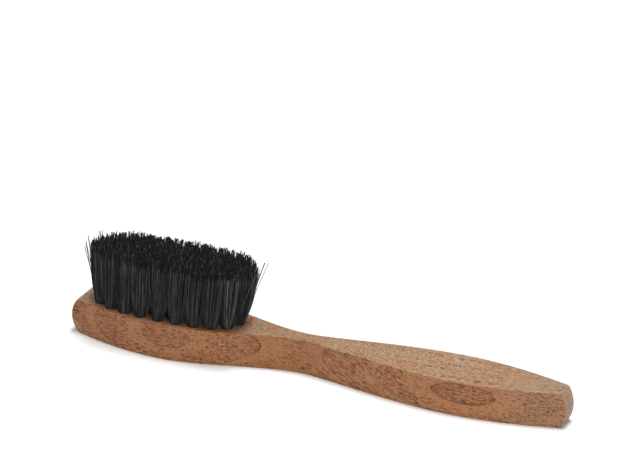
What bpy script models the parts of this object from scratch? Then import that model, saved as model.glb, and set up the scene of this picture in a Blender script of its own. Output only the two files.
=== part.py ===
"""Shoe polish applicator brush: bristle tufts anchored in the drilled head of a waisted hardwood block.

The block lies on its flat back with the bristles standing up. X runs from the toe, beside the bristles, to
the butt of the grip, Y runs across, and Z is up. The origin is on the surface that the brush lies on, below
the middle of the block. Sizes are in metres.
"""

from math import asin, copysign, cos, hypot, pi, radians, sin, sqrt, tan
from random import Random

import bmesh
import bpy
from mathutils import Vector

# The block, seen from the side
LENGTH = 0.1846
THICKNESS = 0.0126
TOE_BULGE = 0.0025
BUTT_BULGE = 0.0018
EDGE_ROUND = 0.0002

# The block, seen from above: its width at five places, and where they are
TOE_WIDTH = 0.0126
HEAD_WIDTH = 0.0264
HEAD_FROM_TOE = 0.0370
NECK_WIDTH = 0.0057
NECK_FROM_TOE = 0.0880
GRIP_WIDTH = 0.0205
GRIP_FROM_BUTT = 0.0396
BUTT_WIDTH = 0.0076
TOE_CORNER = 0.0005
BUTT_CORNER = 0.0004

# How full each stretch of the outline is. Higher values hold the width for longer
TOE_FULLNESS = 1.85
GRIP_RISE = 0.75
BUTT_FULLNESS = 1.75

# The holes, blind and drilled from the top with a twist drill
HOLE_DIAMETER = 0.0042
HOLE_DEPTH = 0.0080
DRILL_POINT = radians(118)

# The field of holes: rings drawn in from an oval, round a straight middle row. The webs are the wood left
# between two holes of a ring, of neighbouring rings at the sides and at the ends, and of any two holes
FIELD_LENGTH = 0.0530
FIELD_FROM_TOE = 0.0353
FIELD_SQUARENESS = 2.4
END_CROWDING = 0.35
SIDE_MARGIN = 0.0022
HOLE_WEB = 0.0020
RING_WEB = 0.0010
END_WEB = 0.0033
LEAST_WEB = 0.0004
SETTLE_ROUNDS = 20
SETTLE_SHARE = 0.3

# The tufts: each is a bundle folded in two and held down in its hole by a staple
BRISTLE_HEIGHT = 0.0220
TRIM_UNEVENNESS = 0.0005
GRIP_LEAN = 0.0015
END_LEAN = 0.0010
FIT_GAP = 0.0003
ROOT_SINK = 0.0015
FOLD_TAPER = 0.0009
STAPLE_THICKNESS = 0.0004
STAPLE_HEIGHT = 0.0018
STAPLE_RISE = 0.0006
STAPLE_SLANT = radians(30)
OUTER_STRANDS = 8
INNER_STRANDS = 3
INNER_SHARE = 0.40
STRAND_ROOT_RADIUS = 0.00036
STRAND_TIP_RADIUS = 0.00028
STRAND_RIM = 0.00004
TIP_GAP = 0.00020
TRIM_SEED = 11

# How finely the curves are divided
SIDE_STATIONS = 72
CORNER_STEPS = 3
EDGE_STEPS = 3
END_STEPS = 7
HOLE_SIDES = 20
ROOT_SIDE_STEPS = 4
STRAND_SIDES = 3
OVAL_STEPS = 2000
SMOOTH_BELOW = radians(35)

WOOD_COLOUR = (0.300, 0.145, 0.072, 1.0)
WOOD_ROUGHNESS = 0.55
BRISTLE_COLOUR = (0.010, 0.010, 0.011, 1.0)
BRISTLE_ROUGHNESS = 0.42


def clear_scene():
    for thing in list(bpy.data.objects):
        bpy.data.objects.remove(thing, do_unlink=True)


def material(name, colour, roughness):
    made = bpy.data.materials.new(name)
    made.use_nodes = True
    shader = made.node_tree.nodes["Principled BSDF"]
    shader.inputs["Base Color"].default_value = colour
    shader.inputs["Roughness"].default_value = roughness
    shader.inputs["Metallic"].default_value = 0.0
    return made


def ease(t):
    """Rises from 0 to 1 and is level at both ends."""
    return t * t * (3 - 2 * t)


def half_width(x):
    """Half the block's width at a distance x from the tip of the toe. It is even over both rounded ends."""
    x = min(max(x, TOE_BULGE), LENGTH - BUTT_BULGE)
    grip_at = LENGTH - GRIP_FROM_BUTT
    if x < HEAD_FROM_TOE:
        t = (HEAD_FROM_TOE - x) / (HEAD_FROM_TOE - TOE_BULGE)
        width = HEAD_WIDTH - (HEAD_WIDTH - TOE_WIDTH) * t**TOE_FULLNESS
    elif x < NECK_FROM_TOE:
        t = (NECK_FROM_TOE - x) / (NECK_FROM_TOE - HEAD_FROM_TOE)
        width = NECK_WIDTH + (HEAD_WIDTH - NECK_WIDTH) * ease(t)
    elif x < grip_at:
        t = (x - NECK_FROM_TOE) / (grip_at - NECK_FROM_TOE)
        width = NECK_WIDTH + (GRIP_WIDTH - NECK_WIDTH) * ease(t**GRIP_RISE)
    else:
        t = (x - grip_at) / (GRIP_FROM_BUTT - BUTT_BULGE)
        width = GRIP_WIDTH - (GRIP_WIDTH - BUTT_WIDTH) * t**BUTT_FULLNESS
    return width / 2


def bulge(depth, z):
    """How far a rounded end stands out at height z: an arc over the block's thickness."""
    radius = (THICKNESS**2 / 4 + depth**2) / (2 * depth)
    return depth - radius + sqrt(radius**2 - (z - THICKNESS / 2) ** 2)


def slice_heights():
    """Pairs of a height and how far the rounded edge draws the outline in there, from the bottom up."""
    low = []
    for step in range(EDGE_STEPS + 1):
        angle = pi / 2 * step / EDGE_STEPS
        low.append((EDGE_ROUND * (1 - cos(angle)), EDGE_ROUND * (1 - sin(angle))))
    walls = THICKNESS - 2 * EDGE_ROUND
    middle = [(EDGE_ROUND + walls * step / (END_STEPS + 1), 0.0) for step in range(1, END_STEPS + 1)]
    high = [(THICKNESS - z, inset) for z, inset in reversed(low)]
    return low + middle + high


def side_points(z, inset):
    """The +Y side of one slice, from toe to butt, with its corners rounded off."""
    start = TOE_BULGE - bulge(TOE_BULGE, z) + inset
    end = LENGTH - BUTT_BULGE + bulge(BUTT_BULGE, z) - inset
    toe_round = min(TOE_CORNER, half_width(start) - inset)
    butt_round = min(BUTT_CORNER, half_width(end) - inset)
    points = []
    for step in range(CORNER_STEPS):
        angle = pi / 2 * step / CORNER_STEPS
        x = start + toe_round * (1 - cos(angle))
        points.append((x, half_width(x) - inset - toe_round * (1 - sin(angle))))
    first = start + toe_round
    last = end - butt_round
    for step in range(SIDE_STATIONS + 1):
        x = first + (last - first) * step / SIDE_STATIONS
        points.append((x, half_width(x) - inset))
    for step in range(CORNER_STEPS - 1, -1, -1):
        angle = pi / 2 * step / CORNER_STEPS
        x = end - butt_round * (1 - cos(angle))
        points.append((x, half_width(x) - inset - butt_round * (1 - sin(angle))))
    return points


def block_mesh():
    """The block without its holes: a stack of outlines, bridged and capped."""
    bm = bmesh.new()
    loops = []
    for z, inset in slice_heights():
        side = side_points(z, inset)
        outline = side + [(x, -y) for x, y in reversed(side)]
        loops.append([bm.verts.new((x - LENGTH / 2, y, z)) for x, y in outline])
    for lower, upper in zip(loops, loops[1:]):
        bridge(bm, lower, upper)
    bm.faces.new(loops[0])
    bm.faces.new(loops[-1])
    return finished_mesh(bm, "wooden_block")


def bridge(bm, lower, upper, skip=()):
    """A band of four-sided faces between two closed loops of as many points."""
    count = len(lower)
    for i in range(count):
        j = (i + 1) % count
        if i not in skip:
            bm.faces.new((lower[i], lower[j], upper[j], upper[i]))


def finished_mesh(bm, name):
    bmesh.ops.recalc_face_normals(bm, faces=bm.faces)
    mesh = bpy.data.meshes.new(name)
    bm.to_mesh(mesh)
    bm.free()
    return mesh


def squared_oval(half_length, half_across):
    """The points of an oval with full corners, from the butt end round."""
    power = 2 / FIELD_SQUARENESS
    curve = []
    for step in range(OVAL_STEPS + 1):
        angle = 2 * pi * step / OVAL_STEPS
        along = copysign(abs(cos(angle)) ** power, cos(angle))
        across = copysign(abs(sin(angle)) ** power, sin(angle))
        curve.append((half_length * along, half_across * across))
    return curve


def way_round(curve, crowding):
    """How far round a closed curve each of its points is, if the way counts for more near the ends."""
    half_length = curve[0][0]
    way = [0.0]
    for (x0, y0), (x1, y1) in zip(curve, curve[1:]):
        weight = 1 + crowding * ((x0 + x1) / 2 / half_length) ** 2
        way.append(way[-1] + weight * hypot(x1 - x0, y1 - y0))
    return way


def spread(curve, way, count):
    """As many points as asked for, at equal shares of the way round a closed curve."""
    points = []
    step = 0
    for index in range(count):
        target = way[-1] * index / count
        while way[step + 1] < target:
            step += 1
        share = (target - way[step]) / (way[step + 1] - way[step])
        (x0, y0), (x1, y1) = curve[step], curve[step + 1]
        points.append((x0 + (x1 - x0) * share, y0 + (y1 - y0) * share))
    return points


def nearest_count(wanted, step, offset):
    """The nearest whole number to the one wanted that is the offset more than a multiple of the step."""
    return step * round((wanted - offset) / step) + offset


def ring_sizes(pitch):
    """Half the length and half the width of each ring and, last, of the middle row."""
    step_along = HOLE_DIAMETER + END_WEB
    step_across = sqrt((HOLE_DIAMETER + RING_WEB) ** 2 - (pitch / 2) ** 2)
    half_length = FIELD_LENGTH / 2
    half_across = (HEAD_WIDTH - HOLE_DIAMETER) / 2 - SIDE_MARGIN
    sizes = [(half_length, half_across)]
    while min(half_length, half_across) > pitch / 2:
        half_length -= step_along
        half_across -= step_across
        sizes.append((half_length, half_across))
    return sizes


def facing(ring, extra):
    """What a count of holes needs beyond an even share to face the gaps of the ring outside it."""
    return extra if len(ring) % 4 == 0 else 0


def field_points():
    """Places for holes, from the middle of the field, and how many of them are in the outermost ring."""
    pitch = HOLE_DIAMETER + HOLE_WEB
    *sizes, (row_reach, _) = ring_sizes(pitch)
    rings = []
    for half_length, half_across in sizes:
        curve = squared_oval(half_length, half_across)
        wanted = way_round(curve, 0.0)[-1] / pitch
        count = nearest_count(wanted, 2, 0)
        if rings:
            count = nearest_count(wanted, 4, facing(rings[-1], 2))
        rings.append(spread(curve, way_round(curve, END_CROWDING), count))
    row_gaps = max(nearest_count(2 * row_reach / pitch, 2, facing(rings[-1], 1)), 1)
    row = [(row_reach * (2 * step / row_gaps - 1), 0.0) for step in range(row_gaps + 1)]
    return sum(rings, []) + row, len(rings[0])


def pushed(point, points, reach):
    """A point moved a little way off from each of its neighbours within reach."""
    x, y = point
    for other in points:
        off = (point[0] - other[0], point[1] - other[1])
        apart = hypot(*off)
        if 0 < apart < reach:
            x += off[0] * SETTLE_SHARE * (reach / apart - 1)
            y += off[1] * SETTLE_SHARE * (reach / apart - 1)
    return x, y


def settled_points():
    """The places for holes, with those inside the outermost ring spread out until they are even."""
    points, held = field_points()
    for _ in range(SETTLE_ROUNDS):
        points = points[:held] + [pushed(point, points, HOLE_DIAMETER + HOLE_WEB) for point in points[held:]]
    return points


def hole_centres():
    """The holes that have enough wood round them, ordered from toe to butt."""
    kept = []
    for along, across in settled_points():
        from_toe = FIELD_FROM_TOE + along
        apart = HOLE_DIAMETER + LEAST_WEB
        wall = half_width(from_toe) - abs(across) - HOLE_DIAMETER / 2
        crowded = any(hypot(along - x, across - y) < apart for x, y in kept)
        if wall >= LEAST_WEB and not crowded:
            kept.append((along, across))
    middle = FIELD_FROM_TOE - LENGTH / 2
    return sorted((round(middle + x, 6), round(y, 6)) for x, y in kept)


def regular_loop(bm, sides, centre, radius, heading, z):
    """The corners of a level polygon with one corner towards the heading."""
    points = []
    for corner in range(sides):
        angle = heading + 2 * pi * corner / sides
        points.append(bm.verts.new((centre[0] + radius * cos(angle), centre[1] + radius * sin(angle), z)))
    return points


def drill_mesh(centres):
    """What the drill takes out: a pointed cylinder at every hole, from above the block."""
    bm = bmesh.new()
    radius = HOLE_DIAMETER / 2
    shoulder = THICKNESS - HOLE_DEPTH
    for x, y in centres:
        upper = regular_loop(bm, HOLE_SIDES, (x, y), radius, 0.0, THICKNESS + HOLE_DIAMETER)
        lower = regular_loop(bm, HOLE_SIDES, (x, y), radius, 0.0, shoulder)
        point = bm.verts.new((x, y, shoulder - radius / tan(DRILL_POINT / 2)))
        bridge(bm, lower, upper)
        bm.faces.new(upper)
        for a, b in zip(lower, lower[1:] + lower[:1]):
            bm.faces.new((a, b, point))
    return finished_mesh(bm, "drill")


def tip_centre(x, y):
    """Where a tuft's middle ends up at its tips: all lean towards the grip, and the field's ends lean out."""
    middle = FIELD_FROM_TOE - LENGTH / 2
    return middle + GRIP_LEAN + (x - middle) * (1 + 2 * END_LEAN / FIELD_LENGTH), y


def tip_reach(tip, tips):
    """How far a tuft's outer strands may spread at the tips and stay clear of the next tuft's."""
    nearest = min(hypot(tip[0] - other[0], tip[1] - other[1]) for other in tips if other != tip)
    return (nearest - TIP_GAP) / 2 - STRAND_TIP_RADIUS


def root_ring(bm, radius, z, turn):
    """A ring round the root, with a short flat at each end of the staple, as wide as the staple is thick."""
    half_flat = asin(STAPLE_THICKNESS / 2 / radius)
    points = []
    for half in (0.0, pi):
        for step in range(ROOT_SIDE_STEPS + 1):
            angle = turn + half + half_flat + (pi - 2 * half_flat) * step / ROOT_SIDE_STEPS
            points.append(bm.verts.new((radius * cos(angle), radius * sin(angle), z)))
    return points


def staple_end(bm, lower, upper, turn):
    """One end of the staple, standing out of the root between four of the root's points."""
    along = Vector((cos(turn), sin(turn), 0.0))
    half_length = (HOLE_DIAMETER - FIT_GAP) / 2
    inner = [lower[0], lower[1], upper[1], upper[0]]
    outer = []
    for vert in inner:
        outer.append(bm.verts.new(vert.co + along * (half_length - vert.co.dot(along))))
    bridge(bm, inner, outer)
    bm.faces.new(outer)


def root(bm, turn):
    """The folded foot of a tuft, with its staple across it. Gives the ring of points round its top."""
    radius = HOLE_DIAMETER / 2 - FIT_GAP
    foot = FIT_GAP - HOLE_DEPTH
    staple_low = foot + FOLD_TAPER + STAPLE_RISE
    top = root_ring(bm, radius, -ROOT_SINK, turn)
    upper = root_ring(bm, radius, staple_low + STAPLE_HEIGHT, turn)
    lower = root_ring(bm, radius, staple_low, turn)
    bottom = root_ring(bm, radius - FOLD_TAPER, foot, turn)
    flats = (ROOT_SIDE_STEPS, 2 * ROOT_SIDE_STEPS + 1)
    bridge(bm, upper, top)
    bridge(bm, lower, upper, skip=flats)
    bridge(bm, bottom, lower)
    bm.faces.new(bottom)
    for flat, heading in zip(flats, (turn + pi, turn)):
        after = (flat + 1) % len(lower)
        staple_end(bm, (lower[flat], lower[after]), (upper[flat], upper[after]), heading)
    return top


def strand_places(turn):
    """Where the strands of a tuft leave its root, as an angle and a share of the outer ring's radius."""
    places = [(turn + 2 * pi * i / OUTER_STRANDS, 1.0) for i in range(OUTER_STRANDS)]
    places += [(turn + 2 * pi * i / INNER_STRANDS, INNER_SHARE) for i in range(INNER_STRANDS)]
    return places


def tuft_mesh(name, lean, reach, turn, chance):
    """A folded root with tapering strands that fan out evenly, so that none cross."""
    bm = bmesh.new()
    top = root(bm, turn)
    root_reach = HOLE_DIAMETER / 2 - FIT_GAP - STRAND_ROOT_RADIUS - STRAND_RIM
    outline = [bm.edges.get((a, b)) for a, b in zip(top, top[1:] + top[:1])]
    for angle, share in strand_places(turn):
        facing = (cos(angle) * share, sin(angle) * share)
        foot = (facing[0] * root_reach, facing[1] * root_reach)
        tip = (lean[0] + facing[0] * reach, lean[1] + facing[1] * reach)
        height = BRISTLE_HEIGHT - TRIM_UNEVENNESS * chance.random()
        lower = regular_loop(bm, STRAND_SIDES, foot, STRAND_ROOT_RADIUS, angle, -ROOT_SINK)
        upper = regular_loop(bm, STRAND_SIDES, tip, STRAND_TIP_RADIUS, angle, height)
        bridge(bm, lower, upper)
        bm.faces.new(upper)
        outline += [bm.edges.get((a, b)) for a, b in zip(lower, lower[1:] + lower[:1])]
    bmesh.ops.triangle_fill(bm, use_beauty=True, use_dissolve=False, normal=(0, 0, 1), edges=outline)
    return finished_mesh(bm, name)


def add_object(name, mesh, finish):
    made = bpy.data.objects.new(name, mesh)
    mesh.materials.append(finish)
    bpy.context.scene.collection.objects.link(made)
    return made


def smooth(made):
    made.data.shade_smooth()
    made.data.set_sharp_from_angle(angle=SMOOTH_BELOW)


def make_block(centres, wood):
    block = add_object("wooden_block", block_mesh(), wood)
    drill = add_object("drill", drill_mesh(centres), wood)
    drill.hide_render = True
    drill.display_type = "WIRE"
    cut = block.modifiers.new("drilled_holes", "BOOLEAN")
    cut.operation = "DIFFERENCE"
    cut.solver = "EXACT"
    cut.object = drill
    smooth(block)
    return block


def make_tufts(centres, block, bristle):
    """One tuft for each hole, its origin at the hole's mouth. The staples lie aslant to the grain."""
    chance = Random(TRIM_SEED)
    tips = [tip_centre(x, y) for x, y in centres]
    for number, ((x, y), tip) in enumerate(zip(centres, tips), start=1):
        name = f"bristle_tuft_{number:02d}"
        lean = (tip[0] - x, tip[1] - y)
        mesh = tuft_mesh(name, lean, tip_reach(tip, tips), STAPLE_SLANT, chance)
        tuft = add_object(name, mesh, bristle)
        tuft.parent = block
        tuft.location = (x, y, THICKNESS)


def main():
    clear_scene()
    wood = material("dark_hardwood", WOOD_COLOUR, WOOD_ROUGHNESS)
    bristle = material("black_bristle", BRISTLE_COLOUR, BRISTLE_ROUGHNESS)
    centres = hole_centres()
    block = make_block(centres, wood)
    make_tufts(centres, block, bristle)


main()
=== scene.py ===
"""Looks of a shoe polish applicator brush: an open-pored hardwood block with black bristle tufts.

Sizes are in metres unless a heading says otherwise, in the frame's own axes: X runs from the toe to the
butt, Y across and Z up, the way that the bristles stand.
"""

from math import atan2, cos, hypot, pi, radians, sin, sqrt, tan
from random import Random

import bmesh
import bpy
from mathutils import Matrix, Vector


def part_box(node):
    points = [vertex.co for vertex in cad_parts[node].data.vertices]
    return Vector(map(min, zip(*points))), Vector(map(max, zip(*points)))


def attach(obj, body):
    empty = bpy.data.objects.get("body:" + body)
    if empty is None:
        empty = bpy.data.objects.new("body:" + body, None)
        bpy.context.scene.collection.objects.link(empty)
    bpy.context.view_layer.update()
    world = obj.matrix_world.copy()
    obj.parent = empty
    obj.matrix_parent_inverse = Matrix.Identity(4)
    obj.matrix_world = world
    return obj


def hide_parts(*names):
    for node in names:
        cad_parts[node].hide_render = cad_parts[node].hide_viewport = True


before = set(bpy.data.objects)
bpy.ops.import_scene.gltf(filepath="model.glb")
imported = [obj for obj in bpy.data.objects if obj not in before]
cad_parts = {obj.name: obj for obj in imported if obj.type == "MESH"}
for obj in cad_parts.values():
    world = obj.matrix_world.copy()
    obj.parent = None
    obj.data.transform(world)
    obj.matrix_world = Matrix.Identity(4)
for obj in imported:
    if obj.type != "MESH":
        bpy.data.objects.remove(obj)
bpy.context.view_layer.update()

# The block, seen from the side
LENGTH = 0.1846
THICKNESS = 0.0126
TOE_BULGE = 0.0025
BUTT_BULGE = 0.0018
EDGE_ROUND = 0.0002

# The block, seen from above: its width at five places, where they are, and how its corners and sides curve
TOE_WIDTH = 0.0126
HEAD_WIDTH = 0.0264
HEAD_FROM_TOE = 0.0370
NECK_WIDTH = 0.0057
NECK_FROM_TOE = 0.0880
GRIP_WIDTH = 0.0205
GRIP_FROM_BUTT = 0.0396
BUTT_WIDTH = 0.0076
TOE_CORNER = 0.0005
BUTT_CORNER = 0.0004
TOE_FULLNESS = 1.85
GRIP_RISE = 0.75
BUTT_FULLNESS = 1.75

# How finely the block is divided, and the angle up to which its edges are shaded smooth
SIDE_STATIONS = 160
CORNER_STEPS = 6
EDGE_STEPS = 5
END_STEPS = 13
HOLE_SIDES = 40
SMOOTH_BELOW = radians(30)

# The holes, and the slice at the foot of a tuft's solid that shows where its hole is
HOLE_DIAMETER = 0.0042
HOLE_DEPTH = 0.0080
DRILL_POINT = radians(118)
FOOT_SLICE = 0.0002

# The field of holes, and how far the tufts lean: all to the grip and the far side, and outwards at the edges
FIELD_LENGTH = 0.0530
FIELD_FROM_TOE = 0.0353
GRIP_LEAN = 0.0015
FAR_LEAN = 0.0006
END_LEAN = 0.0010
SIDE_SPREAD = 1.16

# The field of tips: its middle, half its length and width, and how square its two ends are
TIPS_FROM_TOE = 0.0372
TIPS_HALF_LENGTH = 0.0315
TIPS_HALF_ACROSS = 0.0116
TOE_SQUARENESS = 2.9
BUTT_SQUARENESS = 4.2
EDGE_HALVINGS = 16
BRISTLE_HEIGHT = 0.0220

# The hairs of a tuft: how many, how strongly their tips gather in clumps, and the hair itself
HAIR_SEED = 23
HAIRS = 290
HAIR_JITTER = 0.03
CLUMPS = 50
CLUMP_JITTER = 0.05
CLUMPING = 0.60
HAIR_ROOT_RADIUS = 0.00012
HAIR_TIP_RADIUS = 0.00010
HAIR_SIDES = 3
HAIR_STEPS = 7
LOW_STEPS = 1.6

# The course of a hair. It fans out just above the hole and then stands nearly straight. By the overlap, it
# may reach past the parting from the next tuft
HAIR_SINK = 0.0030
MOUTH_REACH = 0.00200
FAN_OVERLAP = 1.25
FAN_REACH = 0.0048
FAN_QUICKNESS = 2.4
HAIR_BEND = 0.00020
HAIR_WANDER = 0.00018
TUFT_WANDER = 0.00030

# The trim: how far hairs end below the longest, one by one, in the share of short ones and by clumps
TRIM_SPREAD = 0.00020
SHORT_SHARE = 0.30
SHORT_BY = 0.0022
CLUMP_TRIM = 0.0014

# Thin hairs that stand away at both ends: the share of their height where they part from the field, and the
# least and most that their tips lie outside it
END_TUFTS = 3
STRAYS = 3
TOE_STRAYS = (0.25, 0.0006, 0.0022)
BUTT_STRAYS = (0.05, 0.0004, 0.0028)
STRAY_SIDE = 0.0010
STRAY_RADIUS = 0.00013

# The one undyed hair: the tuft that it is in, its foot in shares of the hole's mouth, and its tip's place
PALE_TUFT_AT = (-0.0328, -0.0044)
PALE_FOOT = (0.5, -0.87)
PALE_TIP_SIDE = 0.0008
PALE_TONE = 2.0

# Millimetres in a metre. All sizes of the wood's pattern are in millimetres
MM = 1000

# The growth rings. They run nearly along the block and are bowed in its height
RING_AT = 9.5
RING_STEP = 4.57
RING_UNEVENNESS = 0.085
RING_SLOPE = 0.0616
BOW = 0.048
BOW_HEIGHT = 8.5
WAVER_CELL = (24, 7, 7)
RING_WAVER = 0.5

# Parts of a ring, as shares of its width: its dark edge, its smooth zone, and how far in the eye is shaded
RING_EDGE = (0.015, 0.065)
SMOOTH_START = (0.55, 0.80)
EYE_FADE = (0.10, 0.40)

# The ring edges: their strength, the least of it in broken patches and before one stretch of X, and what it
# loses over another
RING_EDGE_STRENGTH = 0.66
BROKEN_CELL = (9, 6, 6)
BROKEN_RANGE = (0.4, 0.6)
BROKEN_STRENGTH = 0.50
TOE_FAINT = (-50.0, -25.0)
TOE_STRENGTH = 0.55
BUTT_FAINT = (68.0, 78.0)
BUTT_LOSS = 0.8

# The grain. It dips towards the butt, and most of all between the neck and the grip
GRAIN_SLOPE = 0.12
GRAIN_DIP = 12.0
GRAIN_TURN = 0.4
GRAIN_WAVER = 3.0
DIP_BETWEEN = (-8.0, 47.0)

# Fibres, which streak the wood around a middle brightness, more in a rough zone than in a smooth one
FIBRE_CELL = (3.2, 0.60, 0.26)
FIBRE_RANGE = (0.36, 0.64)
STREAK_CONTRASTS = (0.48, 0.26)
STREAK_MIDDLE = 1.14

# Pores: the size of their cells, the share of cells with a pore in the rough and in the smooth zone, the
# least and largest radius in cells, how dark they are on the sides and on top, and their soft rim
# On top and at the ends the pores are lighter, under the painted sheen
PORE_CELL = (2.3, 0.52, 0.29)
PORE_SHARES = (0.62, 0.22)
PORE_RADII = (0.28, 0.54)
PORE_STRENGTHS = (1.0, 0.74)
FINE_PORE_CELL = (1.3, 0.42, 0.25)
FINE_PORE_SHARES = (0.70, 0.40)
FINE_PORE_RADII = (0.30, 0.54)
FINE_PORE_STRENGTHS = (0.80, 0.62)
PORE_RIM = (-0.05, 0.07)

# Stretches of the block along X: where each begins and is full, and where it fades and ends
WAIST = (-34.0, -24.0, -3.0, 7.0)
DASHED = (2.0, 10.0, 32.0, 42.0)
EYE = (38.0, 44.0, 66.0, 72.0)
BESIDE_BRISTLE = (-84.0, -79.0, -29.0, -24.0)

# Changes along X: where each begins and is complete
HEAD_TO_GRIP = (-70.0, 30.0)
CALM_FROM = (40.0, 54.0)
YELLOW_FROM = (45.0, 80.0)
BUTT_TOP_FROM = (50.0, 66.0)
BUTT_FROM = (67.0, 80.0)

# How dark the pores are in some stretches, next to 1 elsewhere
WAIST_PORES = 0.76
DASHED_PORES = 1.25
CALM_PORES = 0.80
EYE_PORES = 1.5

# Colours of the wood, which is redder and yellower in patches, and the factors that shade it in places: some
# are its own tones, some painted shade, light and sheen
PATCH_CELL = (15, 5, 5)
PATCH_RANGE = (0.38, 0.62)
RED_WOOD = (0.405, 0.168, 0.074, 1)
YELLOW_WOOD = (0.402, 0.192, 0.095, 1)
SMOOTH_WOOD = (0.450, 0.210, 0.105, 1)
SMOOTH_STRENGTH = 0.42
RING_EDGE_WOOD = (0.120, 0.038, 0.012, 1)
FINE_PORE_WOOD = (0.170, 0.056, 0.018, 1)
PORE_WOOD = (0.138, 0.038, 0.009, 1)
# Painted shade: the wood is darker at the head, fading out towards the grip
HEAD_PAINTED_SHADE = (0.87, 0.87, 0.87, 1)
WAIST_SHADE = (0.93, 0.93, 0.93, 1)
EYE_SHADE = (0.91, 0.91, 0.93, 1)
# Painted light: the strip of top beside the bristle is lighter and redder, lifting the tufts' shadow on it
BESIDE_PAINTED_LIGHT = (1.18, 1.04, 1.00, 1)
BUTT_SHADE = (0.88, 1.00, 1.12, 1)
# Painted sheen: the top and ends are paler and greyer, like a grazing reflection of the sky; less at the
# butt
TOP_PAINTED_SHEEN = (1.02, 1.44, 1.74, 1)
BUTT_TOP_PAINTED_SHEEN = (0.99, 1.24, 1.44, 1)

# Faces that look up and faces at the ends, by their direction, and what is added to the top's painted sheen
# beside the bristle and at the ends
TOP_FACING = (0.3, 0.8)
END_FACING = (0.6, 0.9)
BESIDE_SHEEN_SHARE = -0.90
END_SHEEN_SHARE = 0.7

# The surface of the wood: depths next to a large pore's, and the roughness beside and in a pore
FINE_PORE_DEPTH = 0.4
FIBRE_DEPTH = 0.4
BUMP_STRENGTH = 0.5
BUMP_DEPTH = 0.00006
WOOD_ROUGHNESS = (0.56, 0.80)
WOOD_SPECULAR = 0.12
WOOD_SHEEN = 0.22
WOOD_SHEEN_ROUGHNESS = 0.45

# The hairs, by their tone, which is 0 to 1: from black to grey, and from rough to smooth
BLACK_HAIR = (0.0265, 0.0265, 0.0268, 1)
GREY_HAIR = (0.118, 0.118, 0.119, 1)
GREY_TONES = (0.35, 1.0)
HAIR_ROUGHNESS = (0.50, 0.38)
HAIR_SPECULAR = 0.08
PALE_HAIR = (0.30, 0.24, 0.185, 1)

# Darker stretches of the hairs, of this size in millimetres
DARK_CELL = (0.5, 0.5, 4)
DARK_RANGE = (0.50, 0.80)
DARK_HAIR = (0.0060, 0.0060, 0.0062, 1)

# Painted shade on the tops of the hairs, by their height, which is 1 at the tip. It begins lower on dark
# hairs, and painted glints make the cut tips of the greyest hairs lighter
HAIR_TOP_SHADE_RANGE = (0.87, 0.965)
HAIR_TOP_SHADE_BY_TONE = -0.10
HAIR_TOP_SHADE_OFFSET = 0.05
HAIR_TOP_PAINTED_SHADE = (0.0050, 0.0050, 0.0051, 1)
# Painted glints: the cut tips of the greyest hairs are lighter
GLINT_RANGE = (0.975, 0.995)
GLINT_TONES = (0.92, 0.98)
CUT_TIP_PAINTED_GLINT = (0.155, 0.153, 0.149, 1)

# The floor's whiteness for light that it bounces and as the camera sees it, and the light of the sky
FLOOR_SIZE = 6.0
FLOOR_WHITE = 0.85
FLOOR_SEEN_WHITE = 1.08
FLOOR_BRIGHTENING = 0.6
FLOOR_TINT = (0.978, 1.00, 1.010, 1)
SKY_LIGHT = 0.09

# The camera, fitted to the edges of the block in the photo: its lens and sensor in millimetres, the way that
# it stands from its aim, and how far off
CAMERA_LENS = 241.2
CAMERA_SENSOR = 36.0
CAMERA_SIDE = (0.38916, -0.82561, 0.40856)
CAMERA_AIM = (-0.02145, 0.04640, 0.02894)
CAMERA_DISTANCE = 1.5


def ease(t):
    """Rises from 0 to 1 and is level at both ends."""
    return t * t * (3 - 2 * t)


def half_width(x):
    """Half the block's width at a distance x from the tip of the toe. It is even over both rounded ends."""
    x = min(max(x, TOE_BULGE), LENGTH - BUTT_BULGE)
    grip_at = LENGTH - GRIP_FROM_BUTT
    if x < HEAD_FROM_TOE:
        t = (HEAD_FROM_TOE - x) / (HEAD_FROM_TOE - TOE_BULGE)
        width = HEAD_WIDTH - (HEAD_WIDTH - TOE_WIDTH) * t**TOE_FULLNESS
    elif x < NECK_FROM_TOE:
        t = (NECK_FROM_TOE - x) / (NECK_FROM_TOE - HEAD_FROM_TOE)
        width = NECK_WIDTH + (HEAD_WIDTH - NECK_WIDTH) * ease(t)
    elif x < grip_at:
        t = (x - NECK_FROM_TOE) / (grip_at - NECK_FROM_TOE)
        width = NECK_WIDTH + (GRIP_WIDTH - NECK_WIDTH) * ease(t**GRIP_RISE)
    else:
        t = (x - grip_at) / (GRIP_FROM_BUTT - BUTT_BULGE)
        width = GRIP_WIDTH - (GRIP_WIDTH - BUTT_WIDTH) * t**BUTT_FULLNESS
    return width / 2


def bulge(depth, z):
    """How far a rounded end stands out at height z: an arc over the block's thickness."""
    radius = (THICKNESS**2 / 4 + depth**2) / (2 * depth)
    return depth - radius + sqrt(radius**2 - (z - THICKNESS / 2) ** 2)


def slice_heights():
    """Pairs of a height and how far the rounded edge draws the outline in there, from the bottom up."""
    low = []
    for step in range(EDGE_STEPS + 1):
        angle = pi / 2 * step / EDGE_STEPS
        low.append((EDGE_ROUND * (1 - cos(angle)), EDGE_ROUND * (1 - sin(angle))))
    walls = THICKNESS - 2 * EDGE_ROUND
    middle = [(EDGE_ROUND + walls * step / (END_STEPS + 1), 0.0) for step in range(1, END_STEPS + 1)]
    high = [(THICKNESS - z, inset) for z, inset in reversed(low)]
    return low + middle + high


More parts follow.
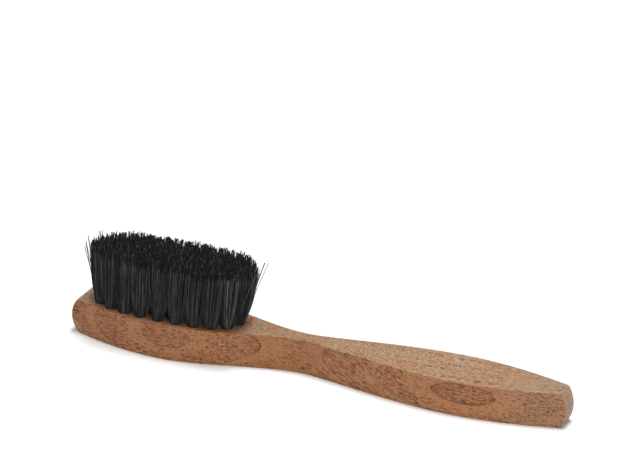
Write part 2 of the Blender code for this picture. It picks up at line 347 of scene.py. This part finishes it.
def side_points(z, inset):
    """The +Y side of one slice, from toe to butt, with its corners rounded off."""
    start = TOE_BULGE - bulge(TOE_BULGE, z) + inset
    end = LENGTH - BUTT_BULGE + bulge(BUTT_BULGE, z) - inset
    toe_round = min(TOE_CORNER, half_width(start) - inset)
    butt_round = min(BUTT_CORNER, half_width(end) - inset)
    points = []
    for step in range(CORNER_STEPS):
        angle = pi / 2 * step / CORNER_STEPS
        x = start + toe_round * (1 - cos(angle))
        points.append((x, half_width(x) - inset - toe_round * (1 - sin(angle))))
    first = start + toe_round
    last = end - butt_round
    for step in range(SIDE_STATIONS + 1):
        x = first + (last - first) * step / SIDE_STATIONS
        points.append((x, half_width(x) - inset))
    for step in range(CORNER_STEPS - 1, -1, -1):
        angle = pi / 2 * step / CORNER_STEPS
        x = end - butt_round * (1 - cos(angle))
        points.append((x, half_width(x) - inset - butt_round * (1 - sin(angle))))
    return points


def bridge(bm, lower, upper):
    """A band of four-sided faces between two closed loops of as many points."""
    count = len(lower)
    for i in range(count):
        j = (i + 1) % count
        bm.faces.new((lower[i], lower[j], upper[j], upper[i]))


def finished_mesh(bm, name):
    """Turns all faces outwards and makes a mesh of them."""
    bmesh.ops.recalc_face_normals(bm, faces=bm.faces)
    mesh = bpy.data.meshes.new(name)
    bm.to_mesh(mesh)
    bm.free()
    return mesh


def add_object(name, data):
    """Puts a mesh, lamp or camera in the scene."""
    made = bpy.data.objects.new(name, data)
    bpy.context.scene.collection.objects.link(made)
    return made


def block_mesh():
    """The block without its holes: a stack of outlines, bridged and capped."""
    bm = bmesh.new()
    loops = []
    for z, inset in slice_heights():
        side = side_points(z, inset)
        outline = side + [(x, -y) for x, y in reversed(side)]
        loops.append([bm.verts.new((x - LENGTH / 2, y, z)) for x, y in outline])
    for lower, upper in zip(loops, loops[1:]):
        bridge(bm, lower, upper)
    bm.faces.new(loops[0])
    bm.faces.new(loops[-1])
    return finished_mesh(bm, "block")


def hole_loop(bm, centre, radius, z):
    """The corners of a level polygon round a hole's middle."""
    points = []
    for corner in range(HOLE_SIDES):
        angle = 2 * pi * corner / HOLE_SIDES
        x = centre[0] + radius * cos(angle)
        y = centre[1] + radius * sin(angle)
        points.append(bm.verts.new((x, y, z)))
    return points


def drill_mesh(centres):
    """What the drill takes out: a pointed cylinder at every hole."""
    bm = bmesh.new()
    radius = HOLE_DIAMETER / 2
    shoulder = THICKNESS - HOLE_DEPTH
    for centre in centres:
        upper = hole_loop(bm, centre, radius, THICKNESS + HOLE_DIAMETER)
        lower = hole_loop(bm, centre, radius, shoulder)
        point = bm.verts.new((centre[0], centre[1], shoulder - radius / tan(DRILL_POINT / 2)))
        bridge(bm, lower, upper)
        bm.faces.new(upper)
        for a, b in zip(lower, lower[1:] + lower[:1]):
            bm.faces.new((a, b, point))
    return finished_mesh(bm, "drill")


def applied(made):
    """Replaces an object's mesh by what its modifiers make of it."""
    depsgraph = bpy.context.evaluated_depsgraph_get()
    made.data = bpy.data.meshes.new_from_object(made.evaluated_get(depsgraph))
    made.modifiers.clear()


def make_block(centres, wood):
    """The wooden block with a hole drilled at every centre."""
    block = add_object("block", block_mesh())
    drill = add_object("drill", drill_mesh(centres))
    cut = block.modifiers.new("drilled_holes", "BOOLEAN")
    cut.operation = "DIFFERENCE"
    cut.solver = "EXACT"
    cut.object = drill
    applied(block)
    bpy.data.objects.remove(drill)
    block.data.shade_smooth()
    block.data.set_sharp_from_angle(angle=SMOOTH_BELOW)
    block.data.materials.clear()
    block.data.materials.append(wood)
    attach(block, "root")
    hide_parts("wooden_block")


def hole_centre(node):
    """The middle of a tuft's hole, from the foot of its solid in the frame."""
    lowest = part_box(node)[0].z
    foot = [v.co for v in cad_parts[node].data.vertices if v.co.z < lowest + FOOT_SLICE]
    xs = [co.x for co in foot]
    ys = [co.y for co in foot]
    return (min(xs) + max(xs)) / 2, (min(ys) + max(ys)) / 2


def tip_centre(x, y):
    """Where a tuft's middle is at its tips: all lean to the grip, and those at the edges lean outwards."""
    middle = FIELD_FROM_TOE - LENGTH / 2
    spread = 1 + 2 * END_LEAN / FIELD_LENGTH
    return middle + GRIP_LEAN + (x - middle) * spread, y * SIDE_SPREAD + FAR_LEAN


def reach_to_edge(centre, angle):
    """How far it is from a tuft's middle to the edge of the field of tips, in the direction of an angle."""
    middle = TIPS_FROM_TOE - LENGTH / 2
    near, far = 0.0, 2 * TIPS_HALF_LENGTH
    for _ in range(EDGE_HALVINGS):
        reach = (near + far) / 2
        along = (centre[0] + reach * cos(angle) - middle) / TIPS_HALF_LENGTH
        across = (centre[1] + reach * sin(angle) - FAR_LEAN) / TIPS_HALF_ACROSS
        squareness = BUTT_SQUARENESS if along > 0 else TOE_SQUARENESS
        if abs(along) ** squareness + abs(across) ** squareness < 1:
            near = reach
        else:
            far = reach
    return near


def reach_to_neighbours(centre, others, angle):
    """How far a tuft's hairs reach from its middle, in the direction of an angle, among the other tufts."""
    reach = FAN_REACH
    for other in others:
        towards = (other[0] - centre[0]) * cos(angle) + (other[1] - centre[1]) * sin(angle)
        if towards > 0:
            apart = hypot(other[0] - centre[0], other[1] - centre[1])
            reach = min(reach, FAN_OVERLAP * apart**2 / 2 / towards)
    return reach


def disc_points(count, chance, jitter):
    """Points spread evenly over a unit disc, in a sunflower's order, each moved a little."""
    turn = pi * (3 - sqrt(5))
    start = chance.uniform(0, 2 * pi)
    points = []
    for i in range(count):
        radius = sqrt((i + 0.5) / count)
        angle = start + i * turn
        x = radius * cos(angle) + chance.gauss(0, jitter)
        y = radius * sin(angle) + chance.gauss(0, jitter)
        size = hypot(x, y)
        points.append((x / max(size, 1), y / max(size, 1)))
    return points


class Tuft:
    """Gathers the corners, faces, tones and heights of one tuft's hairs."""

    def __init__(self, name):
        self.name = name
        self.corners = []
        self.faces = []
        self.smooth = []
        self.tones = []
        self.heights = []

    def hair(self, path, radii, tone, turn):
        """A closed, tapering hair along a path."""
        first = len(self.corners)
        for (x, y, z), radius in zip(path, radii):
            for side in range(HAIR_SIDES):
                angle = turn + 2 * pi * side / HAIR_SIDES
                self.corners.append((x + radius * cos(angle), y + radius * sin(angle), z))
                self.tones.append(tone)
                self.heights.append((z - THICKNESS) / (path[-1][2] - THICKNESS))
        rings = len(path)
        for ring in range(rings - 1):
            low = first + ring * HAIR_SIDES
            for side in range(HAIR_SIDES):
                after = (side + 1) % HAIR_SIDES
                high = low + HAIR_SIDES
                self.faces.append((low + side, low + after, high + after, high + side))
                self.smooth.append(True)
        last = first + (rings - 1) * HAIR_SIDES
        self.faces.append(tuple(first + side for side in reversed(range(HAIR_SIDES))))
        self.faces.append(tuple(last + side for side in range(HAIR_SIDES)))
        self.smooth += [False, False]

    def finish(self, material):
        """Makes the piece, with the tones and heights as attributes for the material."""
        mesh = bpy.data.meshes.new(self.name)
        mesh.from_pydata(self.corners, [], self.faces)
        mesh.polygons.foreach_set("use_smooth", self.smooth)
        for name, values in (("tone", self.tones), ("height", self.heights)):
            mesh.attributes.new(name, "FLOAT", "POINT").data.foreach_set("value", values)
        mesh.materials.append(material)
        mesh.update()
        return add_object(self.name, mesh)


def hair_path(foot, lower, upper, lean, height, bend):
    """Points from inside the hole to the tip, closest together low down, where the hair fans out.

    It leans evenly and bows slightly.
    """
    points = [(foot[0] + lower[0], foot[1] + lower[1], THICKNESS - HAIR_SINK)]
    for step in range(HAIR_STEPS):
        t = (step / (HAIR_STEPS - 1)) ** LOW_STEPS
        fan = 1 - (1 - t) ** FAN_QUICKNESS
        x, y = (foot[axis] + lower[axis] + (upper[axis] - lower[axis]) * fan + lean[axis] * t
                + bend[axis] * sin(pi * t) for axis in (0, 1))
        points.append((x, y, THICKNESS + height * t))
    return points


def trim(chance, clump_trim):
    """How much shorter than the longest a hair is cut."""
    cut = abs(chance.gauss(0, TRIM_SPREAD)) + clump_trim
    if chance.random() < SHORT_SHARE:
        cut += chance.random() * SHORT_BY
    return cut


def tapered(root_radius, tip_radius):
    """The radii of a hair, from its foot in the hole to its tip."""
    thinning = (tip_radius - root_radius) / HAIR_STEPS
    return [root_radius + thinning * step for step in range(HAIR_STEPS + 1)]


def add_hairs(tuft, centre, tip, others, chance):
    """Fills a tuft with hairs that gather in small clumps and end near the partings from its neighbours."""
    clumps = [(point, chance.random() * CLUMP_TRIM) for point in disc_points(CLUMPS, chance, CLUMP_JITTER)]
    lean = (tip[0] - centre[0], tip[1] - centre[1])
    radii = tapered(HAIR_ROOT_RADIUS, HAIR_TIP_RADIUS)
    for u, v in disc_points(HAIRS, chance, HAIR_JITTER):
        (clump_u, clump_v), clump_trim = min(clumps, key=lambda c: hypot(c[0][0] - u, c[0][1] - v))
        tip_u = u + (clump_u - u) * CLUMPING
        tip_v = v + (clump_v - v) * CLUMPING
        angle = atan2(tip_v, tip_u)
        room = min(reach_to_neighbours(tip, others, angle), reach_to_edge(tip, angle))
        reach = room * hypot(tip_u, tip_v)
        upper = (reach * cos(angle) + chance.gauss(0, HAIR_WANDER),
                 reach * sin(angle) + chance.gauss(0, HAIR_WANDER))
        lower = (u * MOUTH_REACH, v * MOUTH_REACH)
        bend = (chance.gauss(0, HAIR_BEND), chance.gauss(0, HAIR_BEND))
        height = BRISTLE_HEIGHT - trim(chance, clump_trim)
        path = hair_path(centre, lower, upper, lean, height, bend)
        tuft.hair(path, radii, chance.random(), chance.uniform(0, 2 * pi))


def add_strays(tuft, centre, tip, outward, leaves, least, most, chance):
    """Adds thin hairs that leave the end of the field at a share of their height and lean away from it."""
    reach = reach_to_edge(tip, 0.0 if outward > 0 else pi)
    for _ in range(STRAYS):
        side = chance.uniform(-1, 1)
        away = outward * chance.uniform(least, most)
        height = BRISTLE_HEIGHT - trim(chance, 0.0)
        foot = (centre[0] + outward * MOUTH_REACH, centre[1] + side * STRAY_SIDE)
        points = [(*foot, THICKNESS - HAIR_SINK)]
        for step in range(HAIR_STEPS):
            t = step / (HAIR_STEPS - 1)
            with_tuft = (tip[0] + outward * reach - foot[0]) * t
            off = away * max(t - leaves, 0) / (1 - leaves)
            y = foot[1] + (tip[1] - centre[1]) * t
            points.append((foot[0] + with_tuft + off, y, THICKNESS + height * t))
        radii = [STRAY_RADIUS] * (HAIR_STEPS + 1)
        tuft.hair(points, radii, chance.random(), chance.uniform(0, 2 * pi))


def add_pale_hair(tuft, centre, tip):
    """Adds the one undyed hair, on the front of its tuft."""
    lower = (MOUTH_REACH * PALE_FOOT[0], MOUTH_REACH * PALE_FOOT[1])
    upper = (PALE_TIP_SIDE, -reach_to_edge(tip, -pi / 2) - HAIR_ROOT_RADIUS)
    lean = (tip[0] - centre[0], tip[1] - centre[1])
    path = hair_path(centre, lower, upper, lean, BRISTLE_HEIGHT - CLUMP_TRIM, (0.0, 0.0))
    tuft.hair(path, tapered(HAIR_ROOT_RADIUS, HAIR_TIP_RADIUS), PALE_TONE, 0.0)


class Net:
    """A shader's nodes. Inputs may be other nodes' sockets or plain values."""

    def __init__(self, owner):
        owner.use_nodes = True
        self.nodes = owner.node_tree.nodes
        self.links = owner.node_tree.links

    def feed(self, socket, value):
        if isinstance(value, bpy.types.NodeSocket):
            self.links.new(value, socket)
        else:
            socket.default_value = value

    def feed_all(self, node, inputs):
        for key, value in inputs.items():
            self.feed(node.inputs[key], value)

    def add(self, kind, inputs, **settings):
        node = self.nodes.new(kind)
        for name, value in settings.items():
            setattr(node, name, value)
        self.feed_all(node, inputs)
        return node

    def math(self, operation, *values):
        return self.add("ShaderNodeMath", dict(enumerate(values)), operation=operation).outputs[0]

    def product(self, first, *others):
        for other in others:
            first = self.math("MULTIPLY", first, other)
        return first

    def rest(self, share):
        """What is left of 1 beside a share."""
        return self.math("SUBTRACT", 1.0, share)

    def scaled(self, vector, factors):
        inputs = {0: vector, 1: factors}
        return self.add("ShaderNodeVectorMath", inputs, operation="MULTIPLY").outputs[0]

    def coordinate(self, name):
        return self.add("ShaderNodeTexCoord", {}).outputs[name]

    def place(self):
        """Where a point is in its piece, in millimetres."""
        return self.scaled(self.coordinate("Object"), (MM, MM, MM))

    def split(self, vector):
        return self.add("ShaderNodeSeparateXYZ", {0: vector}).outputs

    def grey(self, value):
        return self.add("ShaderNodeCombineColor", {i: value for i in range(3)}).outputs[0]

    def rise(self, value, low, high):
        """0 below the low value and 1 above the high one, with a soft step between."""
        inputs = {"Value": value, "From Min": low, "From Max": high}
        return self.add("ShaderNodeMapRange", inputs, interpolation_type="SMOOTHSTEP").outputs["Result"]

    def stretch(self, value, begins, full, fades, ends):
        """1 between the middle two values and 0 beyond the outer two, with soft steps between."""
        return self.math("SUBTRACT", self.rise(value, begins, full), self.rise(value, fades, ends))

    def span(self, share, low, high):
        """From the low value to the high one as the share goes from 0 to 1."""
        inputs = {"Value": share, "To Min": low, "To Max": high}
        return self.add("ShaderNodeMapRange", inputs).outputs["Result"]

    def mix(self, share, first, second, blend="MIX"):
        """Mixes two colours, which a Mix node takes as inputs 6 and 7 and gives as output 2."""
        inputs = {0: share, 6: first, 7: second}
        return self.add("ShaderNodeMix", inputs, data_type="RGBA", blend_type=blend).outputs[2]

    def noise(self, place, cell, detail=2.0):
        """Soft random values with patches of a given size."""
        place = self.scaled(place, tuple(1 / size for size in cell))
        inputs = {"Vector": place, "Scale": 1.0, "Detail": detail}
        return self.add("ShaderNodeTexNoise", inputs).outputs["Fac"]

    def seen_ray(self):
        """1 for what the camera sees, also in a reflection or through glass, and 0 for bounced light."""
        path = self.add("ShaderNodeLightPath", {}).outputs
        mirrored = self.math("MAXIMUM", path["Is Glossy Ray"], path["Is Transmission Ray"])
        return self.math("MAXIMUM", path["Is Camera Ray"], mirrored)

    def attribute(self, name):
        return self.add("ShaderNodeAttribute", {}, attribute_name=name).outputs["Fac"]


def new_material(name):
    made = bpy.data.materials.new(name)
    net = Net(made)
    return made, net, net.nodes["Principled BSDF"]


def ring_share(net, x, y, z, waver):
    """How far a point lies into its growth ring, from 0 at the ring's dark edge to 1."""
    off_bow = net.math("SUBTRACT", z, BOW_HEIGHT)
    bowed = net.math("MULTIPLY_ADD", net.product(off_bow, off_bow), -BOW, net.product(y, -1.0))
    from_toe = net.math("ADD", x, MM * LENGTH / 2)
    inward = net.math("MULTIPLY_ADD", from_toe, RING_SLOPE, net.math("SUBTRACT", bowed, RING_AT))
    inward = net.math("MULTIPLY_ADD", waver, RING_WAVER, inward)
    wave = net.math("COSINE", net.product(inward, pi / RING_STEP))
    phase = net.math("MULTIPLY_ADD", wave, RING_UNEVENNESS, net.math("DIVIDE", inward, RING_STEP))
    return net.math("FRACT", net.math("SUBTRACT", phase, RING_UNEVENNESS))


def ring_edges(net, place, x, ring):
    """The dark edges of the rings, which fade in patches and towards both ends of the block."""
    edge = net.rest(net.rise(ring, *RING_EDGE))
    unbroken = net.rise(net.noise(place, BROKEN_CELL, detail=1.0), *BROKEN_RANGE)
    from_toe = net.span(net.rise(x, *TOE_FAINT), TOE_STRENGTH, 1.0)
    strength = net.math("SUBTRACT", from_toe, net.span(net.rise(x, *BUTT_FAINT), 0.0, BUTT_LOSS))
    return net.product(edge, net.span(unbroken, BROKEN_STRENGTH, 1.0), strength, RING_EDGE_STRENGTH)


def grain_place(net, x, y, z, waver):
    """The place along and across the fibres, which dip and waver."""
    dip = net.math("MULTIPLY_ADD", net.rise(x, *DIP_BETWEEN), GRAIN_DIP, net.product(x, GRAIN_SLOPE))
    dip = net.math("MULTIPLY_ADD", waver, GRAIN_WAVER, dip)
    across = net.math("MULTIPLY_ADD", dip, GRAIN_TURN, y)
    return net.add("ShaderNodeCombineXYZ", {0: x, 1: across, 2: net.math("ADD", z, dip)}).outputs[0]


def pores(net, place, cell, share, radii):
    """Long cells of the wood that the surface cuts open. Gives 1 inside them and 0 in the wood between."""
    place = net.scaled(place, tuple(1 / size for size in cell))
    grid = net.add("ShaderNodeTexVoronoi", {"Vector": place, "Scale": 1.0})
    parts = net.add("ShaderNodeSeparateColor", {0: grid.outputs["Color"]})
    radius = net.span(parts.outputs[0], *radii)
    inside = net.rise(net.math("SUBTRACT", radius, grid.outputs["Distance"]), *PORE_RIM)
    present = net.math("LESS_THAN", parts.outputs[1], share)
    return net.product(inside, present)


def wood_ground(net, place, x, smooth_zone, fibre, tones_and_painted_light):
    """The colour of the wood between pores and ring edges, with its tones and painted light and shade, its
    fibres and smooth zones.
    """
    patch = net.rise(net.noise(place, PATCH_CELL), *PATCH_RANGE)
    patch = net.math("MAXIMUM", patch, net.rise(x, *YELLOW_FROM))
    ground = net.mix(patch, RED_WOOD, YELLOW_WOOD)
    for share, factors in tones_and_painted_light:
        ground = net.mix(share, ground, factors, "MULTIPLY")
    streaks = net.math("SUBTRACT", net.rise(fibre, *FIBRE_RANGE), 0.5)
    streaks = net.math("MULTIPLY_ADD", streaks, net.span(smooth_zone, *STREAK_CONTRASTS), STREAK_MIDDLE)
    ground = net.mix(1.0, ground, net.grey(streaks), "MULTIPLY")
    return net.mix(net.product(smooth_zone, SMOOTH_STRENGTH), ground, SMOOTH_WOOD)


def pore_strength(net, x, waist, eye):
    """How dark the pores are in each stretch of the block."""
    return net.product(
        net.span(net.rise(x, *CALM_FROM), 1.0, CALM_PORES),
        net.span(waist, 1.0, WAIST_PORES),
        net.span(net.stretch(x, *DASHED), 1.0, DASHED_PORES),
        net.span(eye, 1.0, EYE_PORES),
    )


def painted_light_faces(net, x):
    """The share of a face that lies beside the bristle, and the share that gets the top's painted sheen."""
    facing = net.split(net.coordinate("Normal"))
    top = net.rise(facing[2], *TOP_FACING)
    end = net.rise(net.math("ABSOLUTE", facing[0]), *END_FACING)
    beside = net.product(net.stretch(x, *BESIDE_BRISTLE), top)
    # Beside the bristle most of the painted sheen is taken away, and the ends get part of it
    top = net.math("MULTIPLY_ADD", beside, BESIDE_SHEEN_SHARE, top)
    return beside, net.math("MULTIPLY_ADD", end, END_SHEEN_SHARE, top)


def wood_material():
    """Open-pored hardwood: bowed growth rings, each with a dark edge, a rough zone and a smooth zone."""
    made, net, shader = new_material("wood")
    place = net.place()
    x, y, z = net.split(place)
    waver = net.math("SUBTRACT", net.noise(place, WAVER_CELL), 0.5)
    ring = ring_share(net, x, y, z, waver)
    smooth_zone = net.rise(ring, *SMOOTH_START)
    grain = grain_place(net, x, y, z, waver)
    fibre = net.noise(grain, FIBRE_CELL)
    large = pores(net, grain, PORE_CELL, net.span(smooth_zone, *PORE_SHARES), PORE_RADII)
    fine = pores(net, grain, FINE_PORE_CELL, net.span(smooth_zone, *FINE_PORE_SHARES), FINE_PORE_RADII)

    waist = net.stretch(x, *WAIST)
    eye = net.product(net.stretch(x, *EYE), net.rest(net.rise(ring, *EYE_FADE)))
    beside, top = painted_light_faces(net, x)
    tones_and_painted_light = (
        # painted shade over the head
        (net.rest(net.rise(x, *HEAD_TO_GRIP)), HEAD_PAINTED_SHADE),
        (waist, WAIST_SHADE),
        (eye, EYE_SHADE),
        # painted light on the strip beside the bristle
        (beside, BESIDE_PAINTED_LIGHT),
        (net.rise(x, *BUTT_FROM), BUTT_SHADE),
        # painted sheen on the top and the ends
        (top, net.mix(net.rise(x, *BUTT_TOP_FROM), TOP_PAINTED_SHEEN, BUTT_TOP_PAINTED_SHEEN)),
    )
    colour = wood_ground(net, place, x, smooth_zone, fibre, tones_and_painted_light)
    colour = net.mix(ring_edges(net, place, x, ring), colour, RING_EDGE_WOOD)
    strength = pore_strength(net, x, waist, eye)
    for hole, strengths, wood in (
        (fine, FINE_PORE_STRENGTHS, FINE_PORE_WOOD),
        (large, PORE_STRENGTHS, PORE_WOOD),
    ):
        colour = net.mix(net.product(hole, strength, net.span(top, *strengths)), colour, wood)

    hollow = net.math("MULTIPLY_ADD", fine, FINE_PORE_DEPTH, large)
    height = net.math("MULTIPLY_ADD", hollow, -1.0, net.product(fibre, FIBRE_DEPTH))
    bump = net.add("ShaderNodeBump", {"Height": height, "Strength": BUMP_STRENGTH, "Distance": BUMP_DEPTH})
    net.feed_all(shader, {
        "Base Color": colour,
        "Roughness": net.span(hollow, *WOOD_ROUGHNESS),
        "Normal": bump.outputs[0],
        "Specular IOR Level": WOOD_SPECULAR,
        "Sheen Weight": WOOD_SHEEN,
        "Sheen Roughness": WOOD_SHEEN_ROUGHNESS,
    })
    return made


def hair_material():
    """Black bristle. Some hairs are greyer than others, some cut tips have painted glints, the tops painted
    shade, and one is pale.
    """
    made, net, shader = new_material("hair")
    tone = net.attribute("tone")
    height = net.attribute("height")
    dark = net.rise(net.noise(net.place(), DARK_CELL), *DARK_RANGE)
    # painted shade on the tops of the hairs
    painted_top_shade = net.math("MULTIPLY_ADD", tone, HAIR_TOP_SHADE_BY_TONE, net.math("ADD", height, HAIR_TOP_SHADE_OFFSET))
    # painted glints on the cut tips of the greyest hairs
    painted_glint = net.product(net.rise(height, *GLINT_RANGE), net.rise(tone, *GLINT_TONES))
    pale = net.math("GREATER_THAN", tone, (1 + PALE_TONE) / 2)
    colour = net.mix(net.rise(tone, *GREY_TONES), BLACK_HAIR, GREY_HAIR)
    colour = net.mix(dark, colour, DARK_HAIR)
    colour = net.mix(net.rise(painted_top_shade, *HAIR_TOP_SHADE_RANGE), colour, HAIR_TOP_PAINTED_SHADE)
    colour = net.mix(painted_glint, colour, CUT_TIP_PAINTED_GLINT)
    colour = net.mix(pale, colour, PALE_HAIR)
    net.feed_all(shader, {
        "Base Color": colour,
        "Roughness": net.span(tone, *HAIR_ROUGHNESS),
        "Specular IOR Level": HAIR_SPECULAR,
    })
    return made


def make_floor():
    """A white floor that shows its shadow but is pure white beyond it."""
    bm = bmesh.new()
    bmesh.ops.create_grid(bm, x_segments=1, y_segments=1, size=FLOOR_SIZE / 2)
    floor = add_object("floor", finished_mesh(bm, "floor"))
    made = bpy.data.materials.new("floor")
    net = Net(made)
    net.nodes.clear()
    place = net.coordinate("Object")
    squared = net.add("ShaderNodeVectorMath", {0: place, 1: place}, operation="DOT_PRODUCT")
    distance_squared = squared.outputs["Value"]
    seen_white = net.math("MULTIPLY_ADD", distance_squared, FLOOR_BRIGHTENING, FLOOR_SEEN_WHITE)
    white = net.span(net.seen_ray(), FLOOR_WHITE, seen_white)
    colour = net.mix(1.0, net.grey(white), FLOOR_TINT, "MULTIPLY")
    diffuse = net.add("ShaderNodeBsdfDiffuse", {"Color": colour})
    net.add("ShaderNodeOutputMaterial", {"Surface": diffuse.outputs[0]})
    floor.data.materials.append(made)


def make_world():
    """Dim light from all sides, behind a white background."""
    world = bpy.data.worlds.new("studio")
    bpy.context.scene.world = world
    net = Net(world)
    sky = net.span(net.seen_ray(), SKY_LIGHT, 1.0)
    net.feed_all(net.nodes["Background"], {"Color": (1, 1, 1, 1), "Strength": sky})


def turn_to(thing, direction):
    """Turns a lamp or camera to look in a direction, with its top up."""
    thing.rotation_mode = "QUATERNION"
    thing.rotation_quaternion = direction.to_track_quat("-Z", "Y")


def add_lamp(name, place, aim, size, power):
    data = bpy.data.lights.new(name, "AREA")
    data.shape = "SQUARE"
    data.size = size
    data.energy = power
    lamp = add_object(name, data)
    lamp.location = place
    turn_to(lamp, Vector(aim) - Vector(place))


def make_camera():
    data = bpy.data.cameras.new("camera")
    data.lens = CAMERA_LENS
    data.sensor_width = CAMERA_SENSOR
    camera = add_object("camera", data)
    side = Vector(CAMERA_SIDE).normalized()
    camera.location = Vector(CAMERA_AIM) + side * CAMERA_DISTANCE
    turn_to(camera, -side)
    bpy.context.scene.camera = camera


def make_tufts(nodes, centres, material):
    """One piece of hair for each tuft in the frame, numbered like it from the toe to the butt."""
    chance = Random(HAIR_SEED)
    tips = []
    for centre in centres:
        x, y = tip_centre(*centre)
        tips.append((x + chance.gauss(0, TUFT_WANDER), y + chance.gauss(0, TUFT_WANDER)))
    pale_at = min(centres, key=lambda c: hypot(c[0] - PALE_TUFT_AT[0], c[1] - PALE_TUFT_AT[1]))
    for index, (node, centre, tip) in enumerate(zip(nodes, centres, tips)):
        tuft = Tuft(node.replace("bristle_", "hair_"))
        add_hairs(tuft, centre, tip, tips[:index] + tips[index + 1:], chance)
        if index < END_TUFTS:
            add_strays(tuft, centre, tip, -1, *TOE_STRAYS, chance)
        if index >= len(nodes) - END_TUFTS:
            add_strays(tuft, centre, tip, 1, *BUTT_STRAYS, chance)
        if centre == pale_at:
            add_pale_hair(tuft, centre, tip)
        piece = tuft.finish(material)
        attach(piece, "root")
        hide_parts(node)


def main():
    bpy.context.scene.view_settings.view_transform = "Standard"
    make_camera()
    make_world()
    add_lamp("key", place=(0.18, 0.26, 2.50), aim=(0, 0, 0), size=0.90, power=50.5)
    add_lamp("fill", place=(0.95, -1.10, 0.24), aim=(0, 0, 0), size=1.0, power=13.0)
    add_lamp("toe_fill", place=(-1.10, -0.20, 0.70), aim=(-0.09, 0, 0), size=0.7, power=4.0)
    make_floor()
    nodes = sorted(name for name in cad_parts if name.startswith("bristle_tuft"))
    centres = [hole_centre(name) for name in nodes]
    make_block(centres, wood_material())
    make_tufts(nodes, centres, hair_material())


main()
